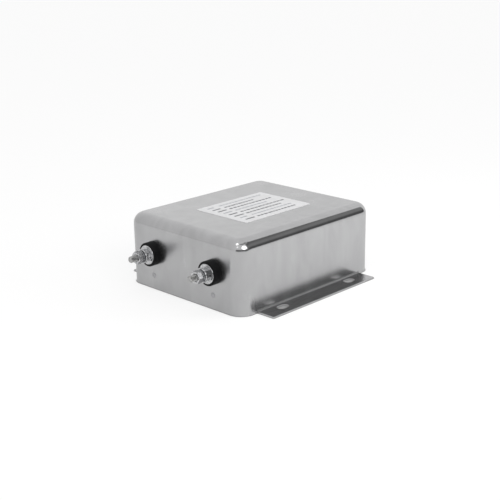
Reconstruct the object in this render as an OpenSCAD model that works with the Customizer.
// Power line EMI filter in a drawn steel case, with a pair of stud terminals at each end.
// X runs across the flanges, Y from terminal end to terminal end, Z up.
// The origin is the centre of the underside.

/* [Case] */
// Width of the case, without its flanges
case_w = 99; // [90:1:130]
// Length of the case, from end wall to end wall
case_l = 117.6; // [112:0.1:150]
// Height of the case
case_h = 45; // [42:0.5:70]
// Thickness of the case's sheet
sheet_t = 1; // [0.8:0.1:1.4]
// Outside radius of the four upright corners
corner_r = 9; // [8:0.5:14]
// Outside radius of the edge round the top
top_r = 7; // [3:0.5:7.5]

/* [Flanges] */
// How far each flange stands out from the case
flange_w = 12.8; // [11:0.1:20]
// Length of each flange
flange_l = 92; // [80:0.5:98]
// Inside radius of the bend between wall and flange
bend_r = 1; // [0.5:0.1:1.5]
// Width of a mounting slot
slot_w = 5.5; // [4.5:0.1:6]
// Length of a mounting slot, from end to end
slot_l = 8.4; // [7:0.1:12]
// Distance between the two slots of a flange
slot_pitch = 60.6; // [50:0.1:66]
// Distance from the case wall to the middle of a slot
slot_out = 5.4; // [5:0.1:6]

/* [Base cover] */
// Thickness of the plate that closes the underside
cover_t = 1; // [0.8:0.1:1.2]
// Clearance between the cover's edge and the case
cover_gap = 0.2; // [0.1:0.05:0.4]
// Width of the upturned tab at each end of the cover
tab_w = 66; // [60:1:70]
// Height of the tabs
tab_h = 13; // [11:0.5:14]
// Width of the relief cut beside each tab
tab_relief = 1.5; // [1:0.1:2]
// Distance between the two spot welds of an end wall
weld_pitch = 52.6; // [44:0.1:54]
// Height of the spot welds
weld_z = 8.8; // [7:0.1:9]
// Diameter of a weld pit
weld_d = 3.4; // [2.5:0.1:4]
// Depth of a weld pit
weld_depth = 0.35; // [0.2:0.05:0.5]

/* [Terminals] */
// Distance between the two studs of an end wall
terminal_pitch = 52.6; // [46:0.1:58]
// Height of the studs
terminal_z = 23; // [22:0.5:28]
// Diameter of the studs, M4
stud_d = 4; // [3.5:0.1:4.4]
// How far the studs stand out from the end wall
stud_out = 18.1; // [16.5:0.1:24]
// How far the studs reach past the inner nut
stud_in = 1.6; // [1:0.1:3]
// Chamfer on the studs' ends
stud_chamfer = 0.5; // [0.3:0.1:0.8]
// Diameter of the insulators
insulator_d = 14.8; // [14:0.1:16]
// How far the insulators stand out from the end wall
insulator_l = 4.8; // [3:0.1:8]
// Rounding of the insulators' outer edge
insulator_edge = 0.5; // [0.2:0.1:0.8]
// Diameter of the neck that passes through the wall
neck_d = 9.5; // [8:0.1:10]
// Clearance round the neck
neck_gap = 0.15; // [0.1:0.05:0.3]
// Length of the bushing on the inside of the wall
bushing_l = 3.5; // [3:0.1:4.5]
// How deep the neck enters the bushing
neck_entry = 1.4; // [1:0.1:2]

/* [Terminal hardware] */
// Diameter of the large washers
seat_washer_d = 12; // [11:0.1:12.6]
// Thickness of the large washers
seat_washer_t = 1; // [0.8:0.1:1.5]
// How deep the large washers are let into the insulators
seat_recess = 0.7; // [0.3:0.1:0.7]
// Width across the flats of the nuts
nut_af = 7; // [6.6:0.1:8]
// Height of the nuts
nut_h = 3.2; // [2.5:0.1:3.5]
// How far a nut's countersink reaches beyond its hole
nut_mouth = 0.35; // [0.2:0.05:0.5]
// Diameter of the flat washers
washer_d = 9; // [8:0.1:10]
// Thickness of the flat washers
washer_t = 0.8; // [0.6:0.1:1]
// Diameter of the spring washers
spring_d = 7.6; // [7:0.1:8]
// Thickness of the spring washers' wire
spring_t = 0.9; // [0.7:0.1:1]
// How far a spring washer still stands open at its split
spring_rise = 0.5; // [0.3:0.1:0.8]
// Clearance between the studs and the holes they pass through
stud_gap = 0.1; // [0.05:0.05:0.2]

/* [Busbars] */
// Width of the busbars from the studs to the board
busbar_w = 9; // [8:0.5:10]
// Thickness of the busbars
busbar_t = 1; // [0.8:0.1:1.2]
// Length of a busbar's foot on the board
busbar_foot = 5; // [4:0.5:6]

/* [Circuit board] */
// Gap between the board's long edges and the case
board_side_gap = 4.5; // [3:0.5:6]
// How far the board's foot area lies behind the busbars
board_end_gap = 1.2; // [1:0.1:2]
// Thickness of the board
board_t = 1.6; // [1.2:0.1:2]
// Height of the spacers between cover and board
spacer_h = 5; // [4:0.5:6]
// Width of the spacers across their flats
spacer_af = 5.5; // [5:0.1:6]
// Diameter of the spacers' swaged feet
spacer_foot_d = 3.4; // [3:0.1:3.8]
// Thickness left under a spacer's screw hole
spacer_floor = 0.8; // [0.6:0.1:1]
// Distance from the board's edges to its screws
screw_inset = 5; // [4:0.5:7]
// Diameter of the board screws
screw_d = 3; // [2.5:0.1:3.2]
// Diameter of the screw heads
screw_head_d = 5.6; // [5:0.1:6]
// Height of the screw heads
screw_head_h = 1.8; // [1.5:0.1:2.2]
// Thickness of the insulating sheet under the board
film_t = 0.5; // [0.3:0.1:0.8]
// Gap between the insulating sheet and the walls
film_gap = 3; // [2.5:0.5:4]
// Clearance between the insulating sheet and the spacers
film_hole_gap = 0.4; // [0.3:0.1:0.8]

/* [Choke] */
// Outside diameter of the ring core
core_d = 48; // [44:0.5:50]
// Diameter of the core's hole
core_hole = 29; // [27:0.5:30]
// Height of the core
core_h = 20; // [14:0.5:20]
// Rounding of the core's edges
core_edge = 1; // [0.5:0.1:1.5]
// Diameter of the enamelled wire
wire_d = 2.2; // [1.6:0.1:2.3]
// Turns in each winding
turns = 12; // [8:1:12]
// Angle of the core that each winding covers
winding_span = 140; // [130:1:145]
// Gap between the wire and the core
wire_gap = 0.2; // [0.1:0.05:0.3]
// Thickness of the holder's plate under the choke
holder_t = 2; // [1.5:0.1:3]
// Thickness of the divider between the windings
divider_t = 3; // [2:0.1:4]

/* [Capacitors and resistor] */
// Width of the film capacitors across the line
x_cap_w = 31.5; // [30:0.5:32]
// Depth of the film capacitors
x_cap_l = 14; // [10:0.5:15]
// Height of the film capacitors
x_cap_h = 28; // [20:0.5:28]
// Rounding of the film capacitors' upright edges
x_cap_edge = 1; // [0.5:0.1:1.5]
// Distance between a film capacitor's leads
x_cap_pitch = 27.5; // [22:0.5:27.5]
// Diameter of the ceramic disc capacitors
y_cap_d = 10; // [9:0.5:12]
// Thickness of the ceramic disc capacitors
y_cap_t = 4.6; // [3.5:0.1:5]
// Distance between a disc capacitor's leads
y_cap_pitch = 7.5; // [5:0.5:7.5]
// Length of the resistor's body
resistor_l = 14; // [10:0.5:16]
// Diameter of the resistor's body
resistor_d = 4.6; // [3:0.1:5]
// How far a resistor lead runs out before it turns down
resistor_lead_run = 2.5; // [2:0.1:4]
// Height of small parts over the board
part_lift = 1.2; // [0.8:0.1:2]
// Distance from the board's long edges to the middle of the small parts
small_part_inset = 6.8; // [6:0.1:8]
// Gap between the resistor's body and the disc capacitors
small_part_gap = 12; // [8:0.5:14]
// Diameter of the parts' leads
lead_d = 0.8; // [0.6:0.1:1]
// How far the leads reach through the board
lead_out = 1.5; // [1:0.1:2]
// Clearance round leads, screws and rivet feet
pin_gap = 0.1; // [0.05:0.05:0.2]

/* [Label] */
// Width of the label, across the case
label_w = 44; // [20:0.5:60]
// Length of the label, along the case
label_l = 57.5; // [30:0.5:80]
// Thickness of the label
label_t = 0.15; // [0.1:0.05:0.3]
// Corner radius of the label
label_r = 1.5; // [0.5:0.5:3]
// Sideways place of the label's middle
label_x = 1.8; // [-5:0.1:5]
// Lengthways place of the label's middle
label_y = 0.8; // [-5:0.1:5]

/* [Hidden] */
$fn = 64;
eps = 0.01;

inner_w = case_w - 2 * sheet_t;
inner_l = case_l - 2 * sheet_t;
inner_r = corner_r - sheet_t;

// Places along a stud, measured outwards from the end wall's outer face
washer_seat = insulator_l - seat_recess;
base_nut_at = washer_seat + seat_washer_t;
flat_washer_at = base_nut_at + nut_h;
spring_at = flat_washer_at + washer_t;
terminal_nut_at = spring_at + spring_t + spring_rise;
bushing_at = -sheet_t - bushing_l;
inner_washer_at = bushing_at - seat_washer_t;
busbar_at = inner_washer_at - busbar_t;
inner_nut_at = busbar_at - nut_h;
stud_end_at = inner_nut_at - stud_in;
stud_hole_d = stud_d + 2 * stud_gap;

// Turn of the spring washers, which sets where their splits stand
split_turn = 200;
// Turn of each terminal's nuts about its stud: front left, front right, rear right, rear left
nut_turns = [14, 0, 23, 8];

board_bottom = cover_t + spacer_h;
board_top = board_bottom + board_t;
board_w = inner_w - 2 * board_side_gap;
board_l = case_l + 2 * busbar_at - 2 * board_end_gap;
screw_x = board_w / 2 - screw_inset;
screw_y = board_l / 2 - screw_inset;
spacer_corner_d = spacer_af * 2 / sqrt(3);
film_hole_d = spacer_corner_d + 2 * film_hole_gap;
screw_length = board_t + spacer_h - spacer_floor - 2 * pin_gap;

core_r = core_d / 2;
core_hole_r = core_hole / 2;
wire_offset = wire_gap + wire_d / 2;
wire_path_r = core_r + wire_offset;
wire_bend = 0.8 * wire_d;
choke_r = wire_path_r + wire_d / 2;
core_bottom = board_top + holder_t + wire_d + wire_gap;
core_middle = core_bottom + core_h / 2;
holder_r = core_r - wire_d;

x_cap_y = (choke_r + board_l / 2) / 2;
small_part_x = board_w / 2 - small_part_inset;
y_cap_y = y_cap_d / 2 + resistor_l / 2 + small_part_gap;
resistor_lead_y = resistor_l / 2 + resistor_lead_run;
resistor_z = board_top + part_lift + resistor_d / 2;

module rounded_plate(w, l, r, t) {
    linear_extrude(t) translate([-w / 2, -l / 2]) rounded_section(w, l, r);
}

// Section of a block with a rounded upper edge, from an inner line out to its side
module rounded_side(reach, height, r) {
    intersection() {
        square([reach, height]);
        union() {
            square([reach, height - r]);
            square([reach - r, height]);
            translate([reach - r, height - r]) circle(r);
        }
    }
}

// Rectangle with all four corners rounded
module rounded_section(w, h, r) {
    translate([r, 0]) square([w - 2 * r, h]);
    translate([0, r]) square([w, h - 2 * r]);
    for (x = [r, w - r], y = [r, h - r]) translate([x, y]) circle(r);
}

// Block with rounded upright corners and a rounded edge round its top
module drawn_form(w, l, height, upright_r, edge_r) {
    side_w = w - 2 * upright_r;
    side_l = l - 2 * upright_r;
    translate([-side_w / 2, -side_l / 2, 0]) cube([side_w, side_l, height]);
    for (end = [0, 180]) rotate([0, 0, end]) {
        translate([side_w / 2, side_l / 2, 0]) rotate([90, 0, 0])
            linear_extrude(side_l) rounded_side(upright_r, height, edge_r);
        translate([-side_w / 2, side_l / 2, 0]) rotate([90, 0, 90])
            linear_extrude(side_w) rounded_side(upright_r, height, edge_r);
        translate([side_w / 2, side_l / 2, 0])
            rotate_extrude(angle = 90) rounded_side(upright_r, height, edge_r);
        translate([-side_w / 2, side_l / 2, 0]) rotate([0, 0, 90])
            rotate_extrude(angle = 90) rounded_side(upright_r, height, edge_r);
    }
}

// Section of a sheet that lies flat from x = 0 to reach and turns up behind x = 0
module bent_sheet(reach, rise, t, r) {
    square([reach, t]);
    translate([-r - t, r + t]) square([t, rise - r - t]);
    intersection() {
        translate([-r - t, 0]) square(r + t);
        difference() {
            translate([0, r + t]) circle(r + t);
            translate([0, r + t]) circle(r);
        }
    }
}

module slot(w, l, t) {
    for (y = [-1, 1]) translate([0, y * (l - w) / 2, 0]) cylinder(d = w, h = t);
    translate([-w / 2, -(l - w) / 2, 0]) cube([w, l - w, t]);
}

// Puts its children on all four studs, with local +Z outwards from the end wall's outer face
module at_terminal(side, end) {
    rotate([0, 0, end == "rear" ? 180 : 0])
        translate([side * terminal_pitch / 2, -case_l / 2, terminal_z]) rotate([90, 0, 0]) children();
}

module at_all_terminals() {
    at_terminal(-1, "front") children();
    at_terminal(1, "front") children();
    at_terminal(-1, "rear") children();
    at_terminal(1, "rear") children();
}

module at_board_corners() {
    for (x = [-1, 1], y = [-1, 1]) translate([x * screw_x, y * screw_y, 0]) children();
}

// A ring with a rectangular section
module ring(outer_d, inner_d, t) {
    difference() {
        cylinder(d = outer_d, h = t);
        translate([0, 0, -eps]) cylinder(d = inner_d, h = t + 2 * eps);
    }
}

// A closed solid through a list of rings of points, all with as many points
module skin(rings) {
    n = len(rings[0]);
    last = len(rings) - 1;
    polyhedron(
        points = [for (ring = rings) each ring],
        faces = concat(
            [[for (k = [0 : n - 1]) k]],
            [for (i = [0 : last - 1], k = [0 : n - 1])
                [i * n + (k + 1) % n, i * n + k, (i + 1) * n + k, (i + 1) * n + (k + 1) % n]],
            [[for (k = [n - 1 : -1 : 0]) last * n + k]]
        )
    );
}

// Case

module case() {
    color("silver") difference() {
        union() {
            difference() {
                drawn_form(case_w, case_l, case_h, corner_r, top_r);
                translate([0, 0, -eps])
                    drawn_form(inner_w, inner_l, case_h - sheet_t + eps, inner_r, top_r - sheet_t);
                for (side = [0, 180]) rotate([0, 0, side])
                    translate([inner_w / 2 - eps, -flange_l / 2, -eps])
                        cube([sheet_t + 2 * eps, flange_l, bend_r + sheet_t + eps]);
            }
            for (side = [0, 180]) rotate([0, 0, side]) flange();
        }
        for (x = [-1, 1], y = [-1, 1])
            translate([x * (case_w / 2 + slot_out), y * slot_pitch / 2, -eps])
                slot(slot_w, slot_l, sheet_t + 2 * eps);
        at_all_terminals()
            translate([0, 0, -sheet_t - eps]) cylinder(d = neck_d + 2 * neck_gap, h = sheet_t + 2 * eps);
        for (end = [0, 180], x = [-1, 1]) rotate([0, 0, end])
            translate([x * weld_pitch / 2, -case_l / 2, weld_z]) weld_pit();
    }
}

module flange() {
    translate([case_w / 2 + bend_r, flange_l / 2, 0]) rotate([90, 0, 0])
        linear_extrude(flange_l) bent_sheet(flange_w - bend_r, bend_r + sheet_t + eps, sheet_t, bend_r);
}

// Shallow round pit that the welding tip leaves
module weld_pit() {
    r = (weld_d * weld_d / 4 + weld_depth * weld_depth) / (2 * weld_depth);
    translate([0, -(r - weld_depth), 0]) sphere(r);
}

module base_cover() {
    tab_bend = cover_t;
    tab_line = inner_l / 2 - cover_t - tab_bend;
    color("silver") difference() {
        union() {
            difference() {
                rounded_plate(
                    inner_w - 2 * cover_gap, inner_l - 2 * cover_gap, inner_r - cover_gap, cover_t
                );
                for (end = [0, 180]) rotate([0, 0, end])
                    translate([-tab_w / 2 - tab_relief, tab_line, -eps])
                        cube([tab_w + 2 * tab_relief, inner_l, cover_t + 2 * eps]);
            }
            for (end = [0, 180]) rotate([0, 0, end])
                translate([tab_w / 2, tab_line, 0]) rotate([90, 0, -90])
                    linear_extrude(tab_w) bent_sheet(tab_bend, tab_h, cover_t, tab_bend);
        }
        at_board_corners()
            translate([0, 0, -eps]) cylinder(d = spacer_foot_d + 2 * pin_gap, h = cover_t + 2 * eps);
    }
}

module label() {
    color("white") translate([label_x, label_y, case_h]) rounded_plate(label_w, label_l, label_r, label_t);
}

// Terminals

module insulator() {
    r = insulator_d / 2;
    color("#1c1c1e") difference() {
        union() {
            cylinder(r = r, h = insulator_l - insulator_edge);
            cylinder(r = r - insulator_edge, h = insulator_l);
            translate([0, 0, insulator_l - insulator_edge])
                rotate_extrude() translate([r - insulator_edge, 0]) circle(insulator_edge);
            translate([0, 0, -sheet_t - neck_entry]) cylinder(d = neck_d, h = sheet_t + neck_entry + eps);
        }
        translate([0, 0, washer_seat]) cylinder(d = seat_washer_d + 2 * stud_gap, h = insulator_l);
        translate([0, 0, -insulator_l]) cylinder(d = stud_hole_d, h = 3 * insulator_l);
    }
}

module bushing() {
    color("#1c1c1e") translate([0, 0, bushing_at]) difference() {
        cylinder(d = insulator_d, h = bushing_l);
        translate([0, 0, bushing_l - neck_entry - neck_gap])
            cylinder(d = neck_d + 2 * neck_gap, h = neck_entry + neck_gap + eps);
        translate([0, 0, -eps]) cylinder(d = stud_hole_d, h = bushing_l);
    }
}

module stud() {
    r = stud_d / 2;
    c = stud_chamfer;
    color("silver") rotate_extrude() polygon([
        [0, stud_end_at], [r - c, stud_end_at], [r, stud_end_at + c],
        [r, stud_out - c], [r - c, stud_out], [0, stud_out]
    ]);
}

module nut() {
    corner = nut_af / sqrt(3);
    bevel = (corner - nut_af / 2) * tan(30);
    mouth = stud_hole_d / 2 + nut_mouth;
    difference() {
        intersection() {
            cylinder(r = corner, h = nut_h, $fn = 6);
            rotate_extrude() polygon([
                [0, 0], [nut_af / 2, 0], [corner, bevel],
                [corner, nut_h - bevel], [nut_af / 2, nut_h], [0, nut_h]
            ]);
        }
        translate([0, 0, -eps]) cylinder(d = stud_hole_d, h = nut_h + 2 * eps);
        for (face = [0, 1]) translate([0, 0, face * nut_h]) mirror([0, 0, face])
            rotate_extrude() polygon([[0, -eps], [mouth + eps, -eps], [0, mouth]]);
    }
}

// Split ring of square wire that climbs from one end of its split to the other
module spring_washer() {
    outer = spring_d / 2;
    inner = stud_hole_d / 2;
    steps = 24;
    open_angle = 14;
    skin([for (i = [0 : steps])
        let (
            a = open_angle / 2 + (360 - open_angle) * i / steps,
            z = spring_rise * i / steps
        )
        [for (corner = [[inner, z], [inner, z + spring_t], [outer, z + spring_t], [outer, z]])
            [corner[0] * cos(a), corner[0] * sin(a), corner[1]]]
    ]);
}

module seat_washers() {
    color("gainsboro") at_all_terminals()
        translate([0, 0, washer_seat]) ring(seat_washer_d, stud_hole_d, seat_washer_t);
}

module base_nuts() {
    color("silver") at_all_terminals()
        translate([0, 0, base_nut_at]) rotate([0, 0, 30]) nut();
}

module flat_washers() {
    color("gainsboro") at_all_terminals()
        translate([0, 0, flat_washer_at]) ring(washer_d, stud_hole_d, washer_t);
}

module spring_washers() {
    color("silver") at_all_terminals()
        translate([0, 0, spring_at]) rotate([0, 0, split_turn]) spring_washer();
}

module terminal_nuts() {
    color("silver") for (i = [0 : 3])
        at_terminal(i % 2 == 0 ? -1 : 1, i < 2 ? "front" : "rear")
            translate([0, 0, terminal_nut_at]) rotate([0, 0, nut_turns[i]]) nut();
}

module inner_washers() {
    color("gainsboro") at_all_terminals()
        translate([0, 0, inner_washer_at]) ring(seat_washer_d, stud_hole_d, seat_washer_t);
}

module inner_nuts() {
    color("silver") at_all_terminals() translate([0, 0, inner_nut_at]) nut();
}

// Flat copper strip from a stud down to the board, with its foot turned inwards
module busbar() {
    drop = terminal_z - board_top;
    foot = board_end_gap - busbar_t + busbar_foot;
    color("peru") difference() {
        union() {
            translate([-busbar_w / 2, -drop, busbar_at - busbar_t]) rotate([0, 90, 0])
                linear_extrude(busbar_w) bent_sheet(foot, drop, busbar_t, busbar_t);
            translate([0, 0, busbar_at]) cylinder(d = busbar_w, h = busbar_t);
        }
        translate([0, 0, busbar_at - eps]) cylinder(d = stud_hole_d, h = busbar_t + 2 * eps);
    }
}

// Circuit board and what carries it

module insulating_sheet() {
    color("ivory") translate([0, 0, cover_t]) difference() {
        rounded_plate(inner_w - 2 * film_gap, inner_l - 2 * film_gap, inner_r - film_gap, film_t);
        at_board_corners() translate([0, 0, -eps]) cylinder(d = film_hole_d, h = film_t + 2 * eps);
    }
}

module board_spacers() {
    color("gold") at_board_corners() difference() {
        union() {
            translate([0, 0, cover_t]) cylinder(d = spacer_corner_d, h = spacer_h, $fn = 6);
            cylinder(d = spacer_foot_d, h = cover_t + eps);
        }
        translate([0, 0, cover_t + spacer_floor]) cylinder(d = screw_d + 2 * pin_gap, h = spacer_h);
    }
}

module board_screws() {
    head_r = screw_head_d / 2;
    cross_reach = 0.6 * head_r;
    cross_w = screw_head_d / 8;
    color("silver") at_board_corners() translate([0, 0, board_top]) difference() {
        union() {
            translate([0, 0, -screw_length]) cylinder(d = screw_d, h = screw_length + eps);
            rotate_extrude() rounded_side(head_r, screw_head_h, screw_head_h * 0.6);
        }
        for (a = [0, 90]) rotate([0, 0, a])
            translate([-cross_reach, -cross_w / 2, screw_head_h / 2])
                cube([2 * cross_reach, cross_w, screw_head_h]);
    }
}

module circuit_board() {
    hole = lead_d + 2 * pin_gap;
    color("seagreen") translate([0, 0, board_bottom]) difference() {
        translate([-board_w / 2, -board_l / 2, 0]) cube([board_w, board_l, board_t]);
        translate([0, 0, -eps]) {
            at_board_corners() cylinder(d = screw_d + 2 * pin_gap, h = board_t + 2 * eps);
            for (x = [-1, 1], y = [-1, 1]) {
                translate([x * x_cap_pitch / 2, y * x_cap_y, 0]) cylinder(d = hole, h = board_t + 2 * eps);
                for (lead = [-1, 1])
                    translate([x * small_part_x, y * y_cap_y + lead * y_cap_pitch / 2, 0])
                        cylinder(d = hole, h = board_t + 2 * eps);
            }
            for (y = [-1, 1])
                translate([-small_part_x, y * resistor_lead_y, 0])
                    cylinder(d = hole, h = board_t + 2 * eps);
        }
    }
}

// Common-mode choke

module choke_core() {
    color("#3a3d40") translate([0, 0, core_bottom]) rotate_extrude() translate([core_hole_r, 0])
        rounded_section(core_r - core_hole_r, core_h, core_edge);
}

module choke_holder() {
    seat_r = (core_r + core_hole_r) / 2;
    seat = core_bottom - board_top;
    color("whitesmoke") translate([0, 0, board_top]) {
        cylinder(r = holder_r, h = holder_t);
        translate([-divider_t / 2, -core_hole_r + wire_gap, 0])
            cube([divider_t, core_hole - 2 * wire_gap, seat + core_h]);
        for (y = [-1, 1]) translate([-divider_t / 2, y * seat_r - divider_t / 2, 0])
            cube([divider_t, divider_t, seat]);
    }
}

// Path of the wire round the core's section, as [distance from the core's axis, height]
function turn_path() =
    let (
        mid_r = (core_r + core_hole_r) / 2,
        half_w = (core_r - core_hole_r) / 2 + wire_offset - wire_bend,
        half_h = core_h / 2 + wire_offset - wire_bend
    )
    [for (corner = [[1, 1, 0], [-1, 1, 90], [-1, -1, 180], [1, -1, 270]], a = [0, 45, 90])
        [mid_r + corner[0] * half_w + wire_bend * cos(corner[2] + a),
         corner[1] * half_h + wire_bend * sin(corner[2] + a)]];

function on_core(angle, point) = [point[0] * cos(angle), point[0] * sin(angle), point[1]];

// Whole path of a winding: a lead up from the board, the turns, and a lead down
function winding_path() =
    let (
        turn = turn_path(),
        n = len(turn),
        count = turns * n - 2,
        floor_z = board_top - core_middle,
        out_z = turn[n - 3][1] - wire_bend,
        half_turned = [wire_path_r - wire_bend * (1 - cos(45)), out_z + wire_bend * sin(45)]
    )
    concat(
        [on_core(-winding_span / 2, [wire_path_r, floor_z])],
        [for (i = [0 : count - 1]) on_core(winding_span * (i / (count - 1) - 0.5), turn[i % n])],
        [on_core(winding_span / 2, half_turned),
         on_core(winding_span / 2, [wire_path_r, out_z]),
         on_core(winding_span / 2, [wire_path_r, floor_z])]
    );

function unit(v) = v / norm(v);

// Rings of points round a path; each ring starts on the side that faces along the core
function wire_rings(path, sides) =
    let (last = len(path) - 1)
    [for (i = [0 : last])
        let (
            along = unit(path[min(i + 1, last)] - path[max(i - 1, 0)]),
            core_angle = atan2(path[i][1], path[i][0]),
            tangent = [-sin(core_angle), cos(core_angle), 0],
            side = unit(tangent - (tangent * along) * along),
            up = cross(along, side)
        )
        [for (k = [0 : sides - 1])
            path[i] + wire_d / 2 * (cos(360 * k / sides) * side + sin(360 * k / sides) * up)]];

module winding() {
    color("chocolate") translate([0, 0, core_middle]) skin(wire_rings(winding_path(), 8));
}

module winding_right() { winding(); }
module winding_left() { rotate([0, 0, 180]) winding(); }

// Capacitors and resistor

// Round leads from a part down through the board
module leads(pitch, top) {
    length = top + board_t + lead_out;
    for (side = [-1, 1])
        translate([0, side * pitch / 2, top - length]) cylinder(d = lead_d, h = length + eps);
}

module x_capacitor(end) {
    color("gold") translate([0, end * x_cap_y, board_top]) {
        rounded_plate(x_cap_w, x_cap_l, x_cap_edge, x_cap_h);
        rotate([0, 0, 90]) leads(x_cap_pitch, 0);
    }
}

module y_capacitor(side, end) {
    edge = y_cap_t / 2;
    centre_z = part_lift + y_cap_d / 2;
    color("steelblue") translate([side * small_part_x, end * y_cap_y, board_top]) {
        translate([0, 0, centre_z]) rotate([0, 90, 0]) {
            translate([0, 0, -edge]) cylinder(r = y_cap_d / 2 - edge, h = y_cap_t);
            rotate_extrude() translate([y_cap_d / 2 - edge, 0]) circle(edge);
        }
        leads(y_cap_pitch, centre_z);
    }
}

module bleed_resistor() {
    bend = lead_d;
    reach = resistor_lead_y - bend;
    color("tan") translate([-small_part_x, 0, resistor_z]) {
        rotate([90, 0, 0]) translate([0, 0, -resistor_l / 2]) cylinder(d = resistor_d, h = resistor_l);
        for (side = [0, 180]) rotate([0, 0, side]) {
            rotate([-90, 0, 0]) cylinder(d = lead_d, h = reach);
            translate([0, reach, -bend]) rotate([0, -90, 0]) rotate_extrude(angle = 90)
                translate([bend, 0]) circle(d = lead_d);
            translate([0, resistor_lead_y, board_bottom - lead_out - resistor_z])
                cylinder(d = lead_d, h = resistor_z - board_bottom + lead_out - bend);
        }
    }
}

case();
base_cover();
label();
at_terminal(-1, "front") insulator();  // insulator_front_left
at_terminal(1, "front") insulator();  // insulator_front_right
at_terminal(1, "rear") insulator();  // insulator_rear_left
at_terminal(-1, "rear") insulator();  // insulator_rear_right
at_terminal(-1, "front") bushing();  // bushing_front_left
at_terminal(1, "front") bushing();  // bushing_front_right
at_terminal(1, "rear") bushing();  // bushing_rear_left
at_terminal(-1, "rear") bushing();  // bushing_rear_right
at_terminal(-1, "front") stud();  // stud_front_left
at_terminal(1, "front") stud();  // stud_front_right
at_terminal(1, "rear") stud();  // stud_rear_left
at_terminal(-1, "rear") stud();  // stud_rear_right
seat_washers();
base_nuts();
flat_washers();
spring_washers();
terminal_nuts();
inner_washers();
inner_nuts();
at_terminal(-1, "front") busbar();  // busbar_front_left
at_terminal(1, "front") busbar();  // busbar_front_right
at_terminal(1, "rear") busbar();  // busbar_rear_left
at_terminal(-1, "rear") busbar();  // busbar_rear_right
insulating_sheet();
circuit_board();
board_spacers();
board_screws();
choke_core();
choke_holder();
winding_left();
winding_right();
x_capacitor(-1);  // x_capacitor_front
x_capacitor(1);  // x_capacitor_rear
y_capacitor(-1, -1);  // y_capacitor_front_left
y_capacitor(1, -1);  // y_capacitor_front_right
y_capacitor(-1, 1);  // y_capacitor_rear_left
y_capacitor(1, 1);  // y_capacitor_rear_right
bleed_resistor();
